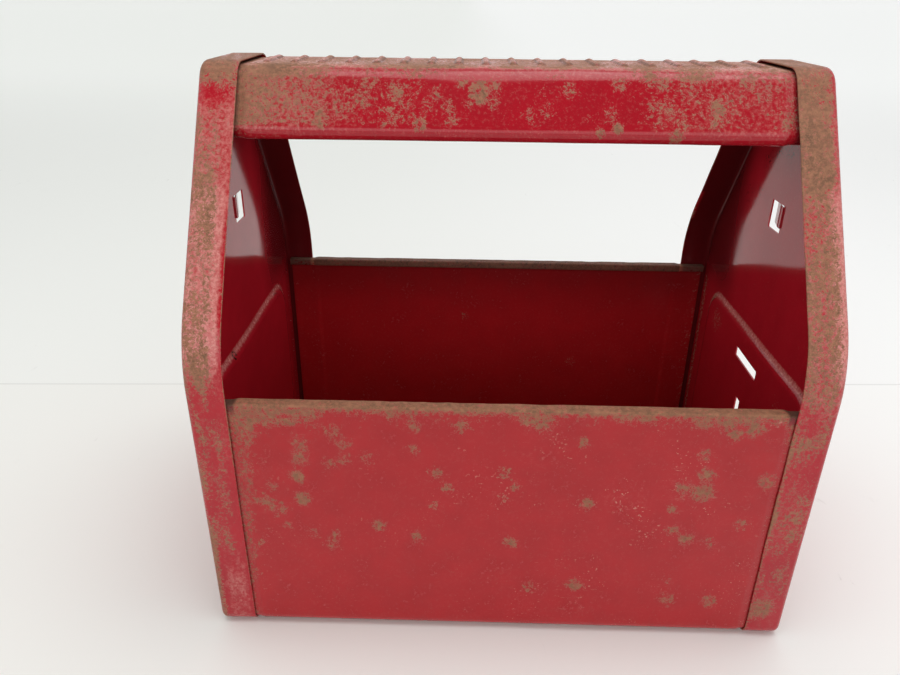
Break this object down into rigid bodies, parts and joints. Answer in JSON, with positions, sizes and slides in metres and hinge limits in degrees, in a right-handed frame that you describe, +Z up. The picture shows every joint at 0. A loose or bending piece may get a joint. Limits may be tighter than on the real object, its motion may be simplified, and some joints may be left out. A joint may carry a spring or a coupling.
{
  "type": "open-top sheet-metal carrying caddy",
  "caption": "Open steel caddy with house-shaped flanged ends, a deep folded tray and a ribbed carrying handle bar across the top.",
  "frame": {"origin": "on the standing plane, under the middle of the caddy", "axes": "+X along the handle bar to the end with the slots, +Y to the back, +Z up"},
  "size_m": [0.311, 0.2108, 0.2852],
  "materials": {
    "end_pan_paint": "worn gloss red enamel, heavily rusted brown on the flanges",
    "tray_paint": "gloss red enamel with rust along the folded top edges and scattered rust spots",
    "handle_paint": "gloss red enamel, tan rust on the ribbed top"
  },
  "bodies": {
    "root": {"end_pan_left": "end_pan_paint", "end_pan_right": "end_pan_paint", "tray_body": "tray_paint", "handle_channel": "handle_paint"}
  },
  "joints": []
}
